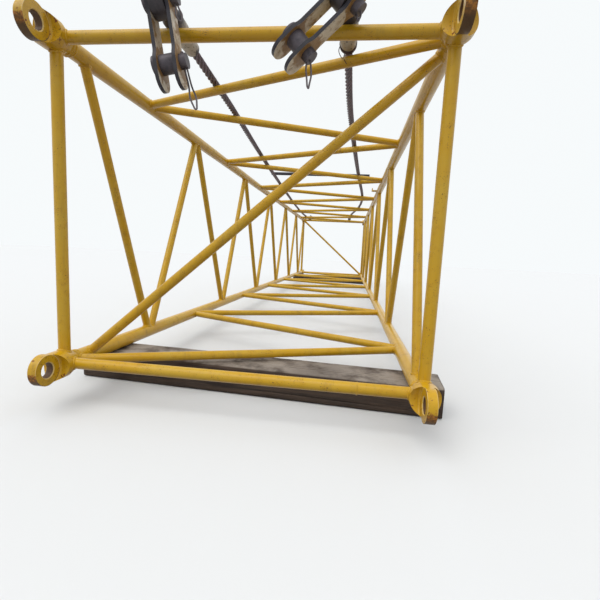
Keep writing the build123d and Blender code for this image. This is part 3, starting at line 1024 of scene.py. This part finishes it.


# %% [markdown]
# Weathered timber is dark brown where rain doesn't reach and silver grey where it does, mostly on top. The
# upward faces are lighter, as silver weathering and as painted light from above, so the silver follows the
# upward part of the normal. The dark and brown wood tones are partly painted shade. The grain is noise
# drawn out along the beam: the coordinates are turned by the beam's skew and then squeezed in that
# direction.

# %% Material: timber
# The dark and brown tones hold painted shade as well as the wood's own colour.
DARK_WOOD, BROWN_WOOD, SILVER_WOOD = rgb(40, 30, 25), rgb(84, 67, 55), rgb(164, 154, 142)
GRAIN_LINE, DAMP_WOOD = rgb(46, 36, 30), rgb(64, 52, 46)
timber_finish, tree, shader, coords = new_material("weathered_timber")
unskewed = {"Vector": coords, "Rotation": (0, 0, np.radians(BEARER_SKEW))}
level = put(tree, "ShaderNodeMapping", unskewed).outputs[0]
grain = noise(tree, stretched(tree, level, 3.5, 60.0, 60.0), 1.0, 7.0, 0.66, 0.6)
fine_grain = noise(tree, stretched(tree, level, 14.0, 330.0, 330.0), 1.0, 4.0, 0.6)
wood = blend_colour(tree, between(tree, grain, 0.30, 0.70), DARK_WOOD, BROWN_WOOD)
normal = put(tree, "ShaderNodeTexCoord").outputs["Normal"]
upward = put(tree, "ShaderNodeSeparateXYZ", {0: normal}).outputs["Z"]
# Upward faces turn silver: weathering, and painted light from above.
lit_and_rained_on = calc(tree, "MULTIPLY_ADD", between(tree, upward, 0.3, 0.9), 0.85, 0.04)
weathering = between(tree, noise(tree, level, 6.0, 4.0, 0.6), 0.30, 0.60)
wood = blend_colour(tree, times(tree, weathering, lit_and_rained_on), wood, SILVER_WOOD)
lines = calc(tree, "SUBTRACT", 1.0, between(tree, fine_grain, 0.30, 0.44))
wood = tint(tree, wood, lines, 0.7, GRAIN_LINE)
damp = between(tree, noise(tree, level, 2.2, 3.0, 0.5), 0.40, 0.70)
wood = tint(tree, wood, damp, 0.45, DAMP_WOOD)
fill(tree, shader, {"Base Color": wood, "Roughness": 0.88})
relief = calc(tree, "MULTIPLY_ADD", fine_grain, 0.4, times(tree, grain, 0.6))
add_bump(tree, shader, relief, 0.9, 0.004)


# %% [markdown]
# Every piece now gets its finish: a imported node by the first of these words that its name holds, or else
# the tubes' enamel.

# %% Dress the pieces
def dress(piece, material):
    """Gives a piece one material on all its faces."""
    piece.data.materials.clear()
    piece.data.materials.append(material)


finishes = {
    "lug": forging_enamel, "fork": forging_enamel, "spacer": pin_steel, "_pin": pin_steel,
    "left_link_plates": plate_finishes["left"], "right_link_plates": plate_finishes["right"],
    "socket": socket_steel, "cross_bar": bar_steel, "lacing": lacing_enamel, "diagonal": lacing_enamel,
}
for name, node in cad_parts.items():
    dress(node, next((finishes[word] for word in finishes if word in name), tube_enamel))
rope_pieces = [piece for piece, _, _ in ropes.values()]
for pieces, material in (
    (welds, weld_enamel), (rope_pieces, rope_steel), (timbers, timber_finish), (clips, clip_steel),
    (bindings["right"], binding_steel),
):
    for piece in pieces:
        dress(piece, material)


# %% [markdown]
# The setting is plain: a pale floor under an overcast sky. The sky is brightest overhead and dimmer towards
# the horizon, as real cloud is, but the camera sees it as one pale tone. The floor looks pale to the camera
# too, but returns less light upwards, like open ground, so that the undersides of the tubes stay in shade.

# %% Floor, sky and lamps
def shown_share(tree):
    """1 for what the camera sees, directly or in a reflection or through glass, and 0 for plain light."""
    path = put(tree, "ShaderNodeLightPath").outputs
    mirrored = calc(tree, "MAXIMUM", path["Is Glossy Ray"], path["Is Transmission Ray"])
    return calc(tree, "MAXIMUM", path["Is Camera Ray"], mirrored)


FLOOR_REACH = 30.0
OPEN_GROUND, SHOWN_FLOOR = rgb(128, 124, 116), rgb(226, 228, 228)
HORIZON_SKY, HIGH_SKY = (0.50, 0.52, 0.55, 1), (1.02, 1.03, 1.06, 1)
SHOWN_SKY = (0.93, 0.96, 0.97, 1)

floor_mesh = bpy.data.meshes.new("floor")
floor_corners = [(FLOOR_REACH * x, FLOOR_REACH * y, 0) for x, y in ((-1, -1), (1, -1), (1, 1), (-1, 1))]
floor_mesh.from_pydata(floor_corners, [], [(0, 1, 2, 3)])
floor = add_object("floor", floor_mesh)
floor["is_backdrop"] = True
floor_finish, tree, shader, _ = new_material("floor_finish")
ground = blend_colour(tree, shown_share(tree), OPEN_GROUND, SHOWN_FLOOR)
fill(tree, shader, {"Base Color": ground, "Roughness": 0.95})
dress(floor, floor_finish)

world = bpy.data.worlds.new("overcast")
bpy.context.scene.world = world
world.use_nodes = True
sky = world.node_tree
direction = put(sky, "ShaderNodeTexCoord").outputs["Generated"]
height = put(sky, "ShaderNodeSeparateXYZ", {0: direction}).outputs["Z"]
light = blend_colour(sky, between(sky, height, -0.1, 0.9), HORIZON_SKY, HIGH_SKY)
light = blend_colour(sky, shown_share(sky), light, SHOWN_SKY)
fill(sky, sky.nodes["Background"], {"Color": light, "Strength": 1.0})

sun_data = bpy.data.lights.new("soft_sun", "SUN")
sun_data.energy = 1.1
sun_data.angle = np.radians(50)
sun_data.color = (1.0, 0.97, 0.92)
sun = add_object("soft_sun", sun_data)
sun.rotation_euler = Vector((0.35, 0.45, -1.0)).to_track_quat("-Z", "Y").to_euler()


# %% Sizes
low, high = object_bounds()
